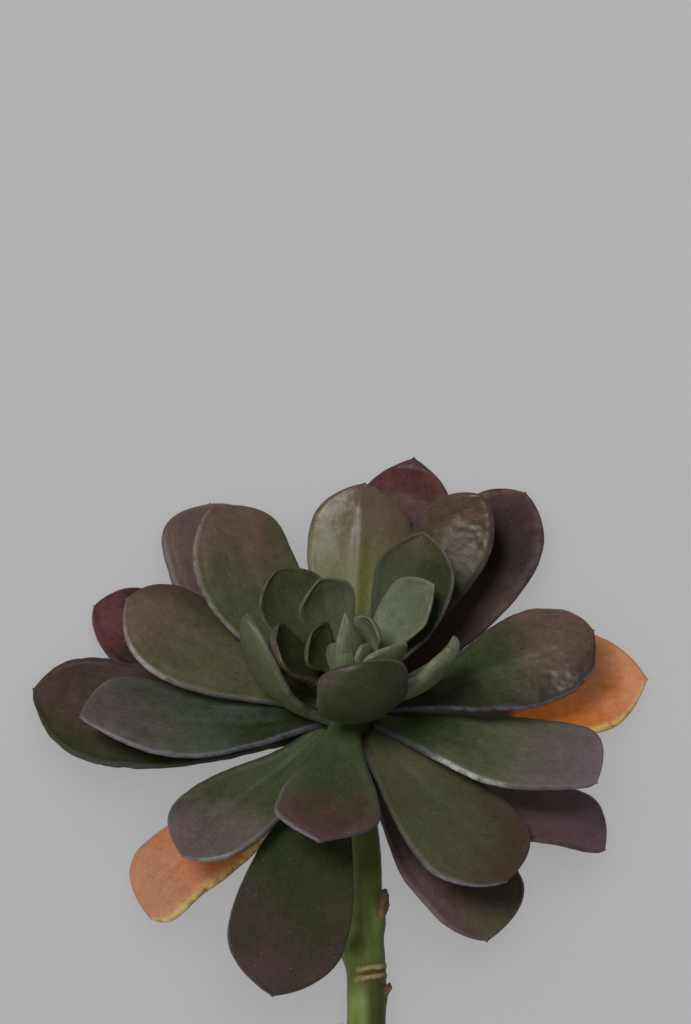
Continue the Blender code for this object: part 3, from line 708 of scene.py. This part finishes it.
def blade_tree():
    """A closed fleshy blade along a bent midrib, with its edges raised and its underside keeled."""
    graph, given = geometry_tree("leaf blade", BLADE_INPUTS)
    grid_inputs = {
        "Size X": 1.0, "Size Y": 1.0, "Vertices X": given["Steps"], "Vertices Y": given["Points"],
    }
    grid = graph.add("GeometryNodeMeshGrid", grid_inputs)
    flat = graph.add("GeometryNodeInputPosition")
    share = 1.0 - (0.5 - graph.part(flat, 0)) ** STEP_CROWDING
    angle = (graph.part(flat, 1) + 0.5) * (2.0 * math.pi)

    left = 1.0 - share
    foot, bend, tip, side = given["Foot"], given["Bend"], given["Tip"], given["Side"]
    peak = HOOK_POWER / (HOOK_POWER + 1)
    hook_top = peak**HOOK_POWER * (1.0 - peak)
    hook = share**HOOK_POWER * left * given["Hook"] / hook_top
    face = graph.unit(graph.cross(tip - foot, side))
    droop = given["Droop"] * share * share
    centre = foot * (left * left) + bend * (share * left * 2.0) + tip * (share * share)
    centre = centre + side * hook - face * (droop * share)
    along = graph.unit((bend - foot) * left + (tip - bend) * share - face * (droop * 1.5))
    across = graph.unit(side - along * graph.dot(side, along))
    up = graph.unit(graph.cross(along, across))

    closing = graph.maths("SQRT", graph.clamp(share / FOOT_ROUND))
    deep = blade_thickness(graph, share, given["End Thickness"]) * given["Thickness"] * 0.5 * closing
    out = graph.maths("COSINE", angle)
    ahead = graph.smooth(out, -0.5, 0.5)
    waist = given["Behind Waist"] + (given["Ahead Waist"] - given["Behind Waist"]) * ahead
    shoulder = given["Behind Shoulder"] + (given["Ahead Shoulder"] - given["Behind Shoulder"]) * ahead
    half = blade_width(graph, share, given, waist, shoulder) * given["Width"] * 0.5 * closing
    sine = graph.maths("SINE", angle)
    lift = graph.maths("SIGN", sine) * graph.maths("ABSOLUTE", sine) ** EDGE_FULLNESS

    spot = centre + across * (out * half)
    broad = graph.noise(spot, EDGE_BROAD_SCALE, 1.0) - 0.5
    fine = graph.noise(spot, EDGE_FINE_SCALE, 1.0) - 0.5
    swell = graph.noise(spot, SURFACE_SCALE, 1.0) - 0.5
    reach = half + (broad * 1.6 + fine * 0.6) * given["Edge Waves"] * graph.clamp(half / MM * 0.25)
    middle = 1.0 - graph.smooth(graph.maths("ABSOLUTE", out * half), 0.0, RIDGE_WIDTH * MM)
    ridge_run = graph.smooth(share, 0.1, 0.3) - graph.smooth(share, 0.7, 0.97)
    ridge = middle * ridge_run * graph.clamp(lift) * given["Ridge"]
    cup = given["Foot Cup"] + (given["Tip Cup"] - given["Foot Cup"]) * graph.smooth(share, 0.2, 0.75)
    cupped = graph.maths("ABSOLUTE", cup) * half
    rise = cup * half * (out * out - CUP_MIDDLE) + swell * given["Surface Waves"] * 2.0 + ridge

    edge_rise = cupped * (CUP_MIDDLE - 1.0)
    up_z = graph.part(up, 2)
    middle_z = graph.part(centre, 2)
    edge_z = graph.maths("ABSOLUTE", graph.part(across, 2) * half)
    keel_z = middle_z - up_z * (deep + cupped * CUP_MIDDLE)
    lowest = graph.maths("MINIMUM", middle_z + up_z * edge_rise - edge_z, keel_z)
    raised = graph.maths("MAXIMUM", -SETTLE * MM - lowest, 0.0)
    place = centre + across * (out * reach) + up * (lift * deep + rise) + graph.vector(0.0, 0.0, raised)
    table = graph.vector(
        graph.part(place, 0), graph.part(place, 1), graph.maths("MAXIMUM", graph.part(place, 2), 0.0)
    )

    inward = half * (1.0 - graph.maths("ABSOLUTE", out))
    blade = keep(graph, grid, "along", share)
    blade = keep(graph, blade, "across", out)
    blade = keep(graph, blade, "facing", sine)
    blade = keep(graph, blade, "rim", inward)
    blade = graph.add("GeometryNodeSetPosition", {"Geometry": blade, "Position": table})
    blade = graph.add("GeometryNodeMergeByDistance", {"Geometry": blade, "Distance": MERGE_DISTANCE})
    blade = graph.add("GeometryNodeFlipFaces", {"Mesh": blade})
    close_tree(graph, blade, given["Skin"])
    return graph.tree


STEM_INPUTS = {
    "Points": "Int",
    "Unevenness": "Float",
    "Skin": "Material",
}


def stem_tree():
    """A tube round the curve that it is given, as thick as the curve's radius, a little uneven."""
    graph, given = geometry_tree("stem", STEM_INPUTS)
    run = graph.add("GeometryNodeSplineParameter", output=1)
    path = keep(graph, given["Geometry"], "run", run)
    ring = graph.add("GeometryNodeCurvePrimitiveCircle", {"Resolution": given["Points"], "Radius": 1.0})
    radius = graph.add("GeometryNodeInputRadius")
    tube_inputs = {"Curve": path, "Profile Curve": ring, "Scale": radius, "Fill Caps": True}
    tube = graph.add("GeometryNodeCurveToMesh", tube_inputs)
    normal = graph.add("GeometryNodeInputNormal")
    place = graph.add("GeometryNodeInputPosition")
    broad = graph.noise(place, STEM_BROAD_SCALE, 2.0)
    bulge = broad + graph.noise(place, STEM_FINE_SCALE, 1.0) * 0.25 - 0.625
    tube = graph.add(
        "GeometryNodeSetPosition", {"Geometry": tube, "Offset": normal * (bulge * given["Unevenness"])}
    )
    tube = graph.add("GeometryNodeMergeByDistance", {"Geometry": tube, "Distance": MERGE_DISTANCE})
    close_tree(graph, tube, given["Skin"])
    return graph.tree


def grow(name, base, tree, values):
    """Runs the tree on the base object's data and returns the result as a plain mesh object."""
    bpy.context.scene.collection.objects.link(base)
    modifier = base.modifiers.new("grow", "NODES")
    modifier.node_group = tree
    sockets = {item.name: item.identifier for item in tree.interface.items_tree if item.in_out == "INPUT"}
    for label, value in values.items():
        modifier[sockets[label]] = value
    evaluated = base.evaluated_get(bpy.context.evaluated_depsgraph_get())
    mesh = bpy.data.meshes.new_from_object(evaluated)
    mesh.name = name
    bpy.data.objects.remove(base)
    piece = bpy.data.objects.new(name, mesh)
    bpy.context.scene.collection.objects.link(piece)
    return piece


def crown_matrix():
    """Carries a point from the crown's frame to the part's frame, both in millimetres."""
    return Matrix.Translation(CROWN) @ Matrix.Rotation(-LEAN, 4, "X")


def crown_axis():
    return (crown_matrix().to_3x3() @ Vector((0.0, 0.0, 1.0))).normalized()


def core_radius(height):
    return CORE_RADIUS - CORE_TAPER * max(height, 0.0)


def polar(turn, reach, height):
    angle = math.radians(turn)
    return Vector((reach * math.cos(angle), reach * math.sin(angle), height))


def blend(low, high, value):
    """0 below low, 1 above high and a smooth rise between them."""
    share = min(max((value - low) / (high - low), 0.0), 1.0)
    return share * share * (3.0 - 2.0 * share)


def leaf_line(leaf):
    """The leaf's foot, bend and tip and its side direction, in the part's frame in metres."""
    foot = polar(leaf.turn + leaf.foot_turn, core_radius(leaf.foot) - FOOT_DEPTH, leaf.foot)
    tip = polar(leaf.turn, leaf.reach, leaf.rise)
    length = (tip - foot).length
    chord = (tip - foot).normalized()
    side = polar(leaf.turn + 90.0, 1.0, 0.0)
    face = chord.cross(side).normalized()
    roll = Matrix.Rotation(math.radians(-leaf.roll), 3, chord)
    side = roll @ side
    face = roll @ face
    bend = (foot + tip) / 2 - face * (2 * leaf.bow * length) + side * (2 * leaf.swing * length)
    to_part = crown_matrix()
    placed = [to_part @ point * MM for point in (foot, bend, tip)]
    return (*placed, to_part.to_3x3() @ side, length * MM)


def add_blade(form, line, tree, skin, foot_cup=FOOT_CUP, surface_waves=SURFACE_WAVES,
              steps=BLADE_STEPS, points=BLADE_POINTS):
    """Grows one blade of this form along its line: its foot, bend, tip, side direction and length."""
    foot, bend, tip, side, length = line
    values = {
        "Foot": foot,
        "Bend": bend,
        "Tip": tip,
        "Side": side,
        "Width": form.width * MM,
        "Thickness": form.thick * MM,
        "End Thickness": form.end,
        "Foot Cup": foot_cup,
        "Tip Cup": form.cup,
        "Hook": form.hook * length,
        "Droop": form.droop * length,
        "Ridge": form.ridge * MM,
        "Broadest": form.broad,
        "Tip Rounding": form.blunt,
        "Point From": form.point[0],
        "Point Width": form.point[1],
        "Ahead Waist": form.ahead[0],
        "Ahead Shoulder": form.ahead[1],
        "Behind Waist": form.behind[0],
        "Behind Shoulder": form.behind[1],
        "Edge Waves": form.waves * MM,
        "Surface Waves": surface_waves * MM,
        "Steps": steps + 1,
        "Points": points + 1,
        "Skin": skin,
    }
    base = bpy.data.objects.new("base", bpy.data.meshes.new("base"))
    return grow(form.name, base, tree, values)


def add_leaf(leaf, tree, skin):
    return add_blade(leaf._replace(name=leaf.name + "_blade"), leaf_line(leaf), tree, skin)


def stem_path():
    """Points along the axis of the stem and the core, with the radius at each, in millimetres."""
    up = crown_axis()
    neck = CROWN + up * CORE_FOOT
    forward = (STEM_BEND - STEM_END).normalized()
    straight = int((STEM_BEND - STEM_END).length / STEM_STEP)
    centres = [STEM_END.lerp(STEM_BEND, k / straight) for k in range(straight)]
    pulls = (STEM_BEND, STEM_BEND + forward * STEM_BEND_STRENGTH, neck - up * NECK_STRENGTH, neck)
    for k in range(BEND_STEPS):
        t = k / BEND_STEPS
        weights = ((1 - t) ** 3, 3 * t * (1 - t) ** 2, 3 * t * t * (1 - t), t**3)
        centres.append(sum((pull * weight for pull, weight in zip(pulls, weights)), Vector()))
    heights = [CORE_FOOT + (CORE_TOP - CORE_FOOT) * k / CORE_STEPS for k in range(CORE_STEPS + 1)]
    centres += [CROWN + up * height for height in heights]
    return [(centre, stem_radius(centre)) for centre in centres]


def stem_radius(centre):
    height = (centre - CROWN).dot(crown_axis())
    if height > CORE_FOOT - CORE_FLARE:
        flare = blend(CORE_FOOT - CORE_FLARE, CORE_FOOT, height)
        radius = STEM_THIN + (core_radius(height) - STEM_THIN) * flare
        return radius if height < CORE_TOP else radius * CORE_TOP_SHARE
    distance = centre.y - STEM_END.y
    thinning = blend(STEM_THICK_UNTIL, STEM_THIN_FROM, distance)
    return STEM_THICK + (STEM_THIN - STEM_THICK) * thinning


def stem_relief(distance, around):
    """How far the skin stands out at this distance from the cut end and this turn about the stem."""
    distance -= SCAR_SLANT * math.cos(math.radians(around))
    total = 0.0
    for swelling in SWELLINGS:
        turned = abs((around - swelling.around + 180.0) % 360.0 - 180.0)
        fade = 1.0 - blend(swelling.spread * 0.4, swelling.spread, turned)
        away = (distance - swelling.place) / swelling.length
        total += swelling.height * fade * math.exp(-away * away)
    return total


def add_stem(tree, skin):
    path = stem_path()
    curve = bpy.data.curves.new("stem path", "CURVE")
    curve.dimensions = "3D"
    spline = curve.splines.new("POLY")
    spline.points.add(len(path) - 1)
    for point, (centre, radius) in zip(spline.points, path):
        point.co = (*(centre * MM), 1.0)
        point.radius = radius * MM
    base = bpy.data.objects.new("base", curve)
    values = {"Points": STEM_POINTS, "Unevenness": STEM_UNEVENNESS * MM, "Skin": skin}
    stem = grow("stem_skin", base, tree, values)
    forward = (STEM_BEND - STEM_END).normalized()
    for vertex in stem.data.vertices:
        distance = (vertex.co / MM - STEM_END).dot(forward)
        out = vertex.co / MM - STEM_END - forward * distance
        if 1.0 < distance < (STEM_BEND - STEM_END).length:
            relief = stem_relief(distance, math.degrees(math.atan2(out.z, out.x)))
            vertex.co += out.normalized() * relief * MM
        vertex.co.z = max(vertex.co.z, 0.0)
    return stem


def add_stub(stub, tree, skin):
    """A dry leaf stub: a small scale that leaves the stem's side and points towards the crown."""
    forward = (STEM_BEND - STEM_END).normalized()
    base_point = STEM_END + forward * stub.place
    out = Matrix.Rotation(math.radians(-stub.around), 3, forward) @ Vector((1.0, 0.0, 0.0))
    foot = base_point + out * STUB_SEAT
    tip = base_point + forward * stub.length + out * (STUB_SEAT + STUB_RISE + stub.lift)
    bow = STUB_SEAT + STUB_BOW + stub.lift * STUB_BOW_LIFT
    bend = base_point + forward * (stub.length * 0.5) + out * bow
    form = STUB_FORM._replace(name=stub.name, width=stub.width)
    line = (foot * MM, bend * MM, tip * MM, out.cross(forward), stub.length * MM)
    piece = add_blade(form, line, tree, skin, STUB_CUP, STUB_SURFACE_WAVES, STUB_STEPS, STUB_POINTS)
    noise.seed_set(STUB_SEED)
    for vertex in piece.data.vertices:
        vertex.co += noise.noise_vector(vertex.co / (STUB_GRAIN * MM)) * STUB_RAGGEDNESS * MM
    return piece


def new_skin(name):
    """A new material, its formulas and its shader."""
    material = bpy.data.materials.new(name)
    material.use_nodes = True
    shader = material.node_tree.nodes["Principled BSDF"]
    return material, Graph(material.node_tree), shader


def stored(graph, name):
    return graph.add("ShaderNodeAttribute", output=2, attribute_name=name)


def object_place(graph):
    """Where a point lies on its object, in metres."""
    return graph.add("ShaderNodeTexCoord", output=3) * 1.0


def add_relief(graph, shader, height, depth, strength=RELIEF_STRENGTH):
    """Fine relief on a skin, up to this depth in metres."""
    inputs = {"Strength": strength, "Distance": depth, "Height": height}
    graph.feed(shader.inputs["Normal"], graph.add("ShaderNodeBump", inputs))


def rim_line(graph, along, inward, mottle, colour, line):
    """Lays a soft line of this colour on the rim, between two places along the blade."""
    tint, strength, start, end, width = line
    near = 1.0 - graph.smooth(inward, width * 0.25, width)
    run = graph.smooth(along, start - 0.12, start + 0.12) - graph.smooth(along, end - 0.12, end + 0.12)
    patchy = graph.clamp(mottle * 3.0 + 0.7)
    return graph.mix(near * run * patchy * strength, colour, tint)


def leaf_skin(name, paint_of):
    """Waxy leaf skin: colours along and across the blade, pale rim, mottling, fibres and specks, with the
    painted shade and painted highlights that some paints carry.
    """
    material, graph, shader = new_skin(name)
    along = stored(graph, "along")
    across = stored(graph, "across")
    facing = stored(graph, "facing")
    inward = stored(graph, "rim") / MM
    place = object_place(graph)

    cloud = graph.noise(place, CLOUD_SCALE, 3.0) - 0.5
    mottle = graph.noise(place, MOTTLE_SCALE, 3.0, 0.6) - 0.5
    grain = graph.noise(place, GRAIN_SCALE, 2.0) - 0.5
    strands = graph.vector(across * 6.0, along * 1.1, cloud * 0.8)
    fibre = graph.noise(strands, 3.0, 3.0, 0.55) - 0.5

    drift = graph.noise(place, DRIFT_SCALE, 2.0, 0.6) - 0.5
    spot = along + cloud * 0.6 + mottle * 0.25 + fibre * 0.15
    grown = graph.smooth(spot, paint_of.foot_from, paint_of.foot_to)
    colour = graph.mix(grown, paint_of.foot, paint_of.body)
    ripe = graph.smooth(spot, paint_of.tip_from - SOFTNESS, paint_of.tip_to + SOFTNESS)
    colour = graph.mix(ripe, colour, paint_of.tip)
    for way, (tint, strength) in ((1.0, paint_of.ahead), (-1.0, paint_of.behind)):
        if strength:
            mask = graph.smooth(across * way + cloud * 0.6, 0.2, 0.95)
            colour = graph.mix(mask * strength, colour, tint)
    haze = (1.0 - graph.smooth(inward + cloud * 3.0, 0.5, 5.0)) * graph.smooth(along, 0.2, 0.6)
    colour = graph.mix(haze * paint_of.haze, colour, BLOOM)
    edge = inward + mottle * 0.9 + cloud * 0.8
    colour = graph.mix((1.0 - graph.smooth(edge, 0.15, 0.6)) * paint_of.edge, colour, VIOLET)
    side = graph.smooth(across, -0.1, 0.1)
    ahead_edge = edge + (1.0 - side) * OTHER_EDGE
    behind_edge = edge + side * OTHER_EDGE
    colour = graph.mix(graph.smooth(drift, 0.0, 0.25) * 0.3, colour, paint_of.tip)
    colour = graph.mix(graph.smooth(drift, 0.0, -0.25) * 0.3, colour, paint_of.foot)
    below = 1.0 - graph.smooth(facing, -0.5, -0.05)
    colour = graph.mix(below * 0.8, colour, paint_of.under)
    colour = rim_line(graph, along, ahead_edge, mottle, colour, paint_of.ahead_rim)
    colour = rim_line(graph, along, behind_edge, mottle, colour, paint_of.behind_rim)
    tone = (cloud * 0.5 + mottle * 0.6 + fibre * 0.35 + grain * 0.7) * paint_of.grainy + 1.0
    colour = graph.combine("MULTIPLY", colour, tone)
    cells = graph.add("ShaderNodeTexVoronoi", {"Vector": place, "Scale": SPECK_SCALE}, 0)
    speck = 1.0 - graph.smooth(cells, 0.03, 0.09)
    colour = graph.mix(speck * 0.6, colour, BLOOM)
    graph.feed(shader.inputs["Base Color"], colour)

    polish = graph.smooth(along, 0.5, 0.95) * 0.16
    rough = mottle * 0.2 + cloud * 0.15 - polish + paint_of.rough + 0.16
    graph.feed(shader.inputs["Roughness"], rough)
    shader.inputs["Specular IOR Level"].default_value = paint_of.shine
    lumps = graph.noise(place, LUMP_SCALE, 1.5) - 0.5
    outer = graph.smooth(along, 0.35, 0.7)
    margin = graph.smooth(inward, 0.0, 1.0) - graph.smooth(inward, 1.0, 2.6)
    groove = 1.0 - graph.smooth(graph.maths("ABSOLUTE", across + fibre * 0.05), 0.0, 0.18)
    relief = fibre * 0.05 + mottle * 0.09 + grain * 0.04 + lumps * outer * paint_of.wrinkle
    relief = relief + margin * 0.35 - groove * graph.smooth(along, 0.95, 0.5) * 0.12
    add_relief(graph, shader, relief, LEAF_RELIEF)
    return material


def stem_skin():
    """Green stem skin with lines along it and blotches, and painted shade: darker on its right side
    near the cut end and dark green at its top, where it runs in among the leaves.

    Each scar ring is tan, with a stain on the cut end's side, and a brown groove parts close rings.
    """
    material, graph, shader = new_skin("stem skin")
    run = stored(graph, "run") / MM
    place = object_place(graph)
    cloud = graph.noise(place, STEM_CLOUD_SCALE, 3.0) - 0.5
    mottle = graph.noise(place, STEM_MOTTLE_SCALE, 3.0, 0.6) - 0.5
    stretched = graph.combine("MULTIPLY", place, (1.0, 0.12, 1.0))
    lines = graph.noise(stretched, STEM_LINE_SCALE, 2.0) - 0.5
    colour = graph.mix(graph.smooth(cloud, -0.15, 0.2), STEM_GREEN, STEM_SHADE)
    # Painted shade: the stem's right side is darkened near the cut end, a little less at its far edge.
    across = (graph.part(place, 0) / MM - STEM_MIDDLE) / STEM_THICK
    shaded = graph.smooth(across, -0.4, 0.3) - graph.smooth(across, 0.7, 1.0) * 0.5
    shaded = shaded * (1.0 - graph.smooth(run, 46.0, 56.0))
    colour = graph.mix(shaded * 0.9, colour, STEM_PAINTED_SHADE)
    # Painted shade: the stem turns dark green at its top, where it runs in among the leaves to the core.
    colour = graph.mix(graph.smooth(run, 88.0, 96.0), colour, FOREST)
    slanted = run + mottle * 1.2 + cloud * 1.5 - across * SCAR_SLANT
    scarred = graph.smooth(across + mottle, -0.75, -0.4)
    ring = None
    for distance in SCAR_RINGS:
        away = graph.maths("ABSOLUTE", slanted - distance)
        one = (1.0 - graph.smooth(away, 0.2, 0.9)) * scarred
        ring = one if ring is None else graph.maths("MAXIMUM", ring, one)
        stained = graph.smooth(slanted, distance - 6.0, distance - 2.0)
        stained = stained - graph.smooth(slanted, distance - 1.0, distance - 0.2)
        middle = graph.smooth(across, -0.55, -0.2) - graph.smooth(across, 0.0, 0.4)
        colour = graph.mix(graph.clamp(stained) * middle * (cloud + 0.8) * 0.4, colour, BARK)
    colour = graph.mix(ring * (mottle * 1.5 + 0.7), colour, TAN)
    for distance in SCAR_GROOVES:
        groove = graph.maths("ABSOLUTE", slanted - distance)
        dark = (1.0 - graph.smooth(groove, 0.25, 0.8)) * graph.smooth(across + mottle, -0.4, 0.0)
        colour = graph.mix(dark * 0.85, colour, BARK)
    blotch = graph.smooth(graph.noise(place, STEM_BLOTCH_SCALE, 2.0), 0.66, 0.74)
    colour = graph.mix(blotch * 0.5, colour, BARK)
    tone = cloud * 0.3 + mottle * 0.3 + lines * 0.4 + 1.0
    colour = graph.combine("MULTIPLY", colour, tone)
    graph.feed(shader.inputs["Base Color"], colour)
    graph.feed(shader.inputs["Roughness"], mottle * 0.2 + ring * 0.2 + 0.45)
    shader.inputs["Specular IOR Level"].default_value = 0.12
    relief = lines * 0.5 + mottle * 0.5 + ring * 0.3
    add_relief(graph, shader, relief, STEM_RELIEF)
    return material


def add_floor():
    """The plain pale table."""
    bpy.ops.mesh.primitive_plane_add(size=TABLE_SIZE, location=(0.0, 0.0, -TABLE_DROP))
    floor = bpy.context.object
    floor.name = "table_top"
    material, graph, shader = new_skin("table")
    place = object_place(graph)
    far = graph.smooth(graph.part(place, 1), -0.16, 0.14)
    cloud = graph.noise(place, 9.0, 2.0) - 0.5
    grain = graph.noise(place, 900.0, 3.0, 0.7) - 0.5
    fibre = graph.noise(graph.combine("MULTIPLY", place, (1.0, 0.3, 1.0)), 2600.0, 2.0) - 0.5
    colour = graph.mix(far, TABLE_NEAR, TABLE_FAR)
    tone = cloud * 0.05 + grain * 0.06 + fibre * 0.05 + 1.0
    graph.feed(shader.inputs["Base Color"], graph.combine("MULTIPLY", colour, tone))
    graph.feed(shader.inputs["Roughness"], grain * 0.1 + 0.9)
    shader.inputs["Specular IOR Level"].default_value = 0.2
    add_relief(graph, shader, grain + fibre, TABLE_RELIEF, RELIEF_STRENGTH / 2)
    floor.data.materials.append(material)
    return floor


def add_camera():
    """Looks down on the rosette from the photograph's viewing angle."""
    focal = CAMERA_DISTANCE / PIXEL
    away = Vector((0.0, -math.cos(CAMERA_HEIGHT), math.sin(CAMERA_HEIGHT)))
    right = Vector((1.0, 0.0, 0.0))
    up = right.cross(-away)
    pitch = math.atan((CROWN_PIXEL[1] - PHOTO_HEIGHT / 2) / focal)
    forward = -away * math.cos(pitch) + up * math.sin(pitch)
    up = right.cross(forward)
    yaw = math.atan((CROWN_PIXEL[0] - PHOTO_WIDTH / 2) / focal)
    forward = forward * math.cos(yaw) - right * math.sin(yaw)
    right = forward.cross(up).normalized()
    data = bpy.data.cameras.new("camera")
    data.sensor_fit = "VERTICAL"
    data.sensor_height = SENSOR
    data.lens = SENSOR * focal / PHOTO_HEIGHT
    data.clip_start = 0.01
    camera = bpy.data.objects.new("camera", data)
    turn = Matrix((right, up, -forward)).transposed().to_4x4()
    camera.matrix_world = Matrix.Translation((CROWN + away * CAMERA_DISTANCE) * MM) @ turn
    bpy.context.scene.collection.objects.link(camera)
    bpy.context.scene.camera = camera


def add_light(name, lit, casting=None):
    """One distant soft light that falls on the pieces in one collection.

    Where casting is given, only the pieces in it throw shadows in this light.
    """
    sun = SUNS[name]
    data = bpy.data.lights.new(name, "SUN")
    data.angle = math.radians(sun.angle)
    data.energy = sun.power
    light = bpy.data.objects.new(name, data)
    light.rotation_euler = Vector(sun.source).to_track_quat("Z", "Y").to_euler()
    bpy.context.scene.collection.objects.link(light)
    light.light_linking.receiver_collection = lit
    if casting:
        light.light_linking.blocker_collection = casting


def gather(name, pieces, starts=""):
    """A collection of those pieces whose names start so."""
    group = bpy.data.collections.new(name)
    for piece in pieces:
        if piece.name.startswith(starts):
            group.objects.link(piece)
    return group


def add_studio(pieces, floor):
    """Soft light on the plant from above and from the near left, and even light on the table."""
    world = bpy.data.worlds.new("studio")
    world.use_nodes = True
    background = world.node_tree.nodes["Background"]
    background.inputs["Color"].default_value = (1.0, 1.0, 1.0, 1.0)
    background.inputs["Strength"].default_value = ROOM_LIGHT
    bpy.context.scene.world = world
    plant = gather("lit plant", pieces)
    low = gather("low pieces", pieces, LOW_PIECES)
    orange = gather("right orange", pieces, "outer_leaf_right_orange")
    table = gather("lit table", [floor])
    add_light("key", plant)
    add_light("fill", plant)
    add_light("low light", low, low)
    add_light("orange light", orange, low)
    add_light("table light", table, table)
    add_light("table shade", table)
    bpy.context.scene.view_settings.view_transform = "Standard"


def place_piece(piece, slot, *nodes):
    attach(piece, BODY)
    if nodes:
        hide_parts(*nodes)
    return piece


def main():
    blades = blade_tree()
    pieces = []
    for leaf in OUTER_LEAVES + MIDDLE_LEAVES + INNER_LEAVES:
        skin = leaf_skin(leaf.name + " skin", PAINTS[leaf.name])
        pieces.append(place_piece(add_leaf(leaf, blades, skin), leaf.slot, leaf.name))
    heart_skin = leaf_skin("heart skin", HEART_PAINT)
    own_skins = {
        "heart_point": leaf_skin("heart point skin", POINT_PAINT),
        "heart_leaf_left": leaf_skin("heart cup skin", CUP_PAINT),
    }
    for leaf in HEART_LEAVES:
        skin = own_skins.get(leaf.name, heart_skin)
        pieces.append(place_piece(add_leaf(leaf, blades, skin), leaf.slot, "heart_bud"))
    pieces.append(place_piece(add_stem(stem_tree(), stem_skin()), "stem", "stem"))
    stub_skin = leaf_skin("dry stub skin", STUB_PAINT)
    for stub in STUBS:
        pieces.append(place_piece(add_stub(stub, blades, stub_skin), "stem"))
    floor = add_floor()
    add_camera()
    add_studio(pieces, floor)


main()
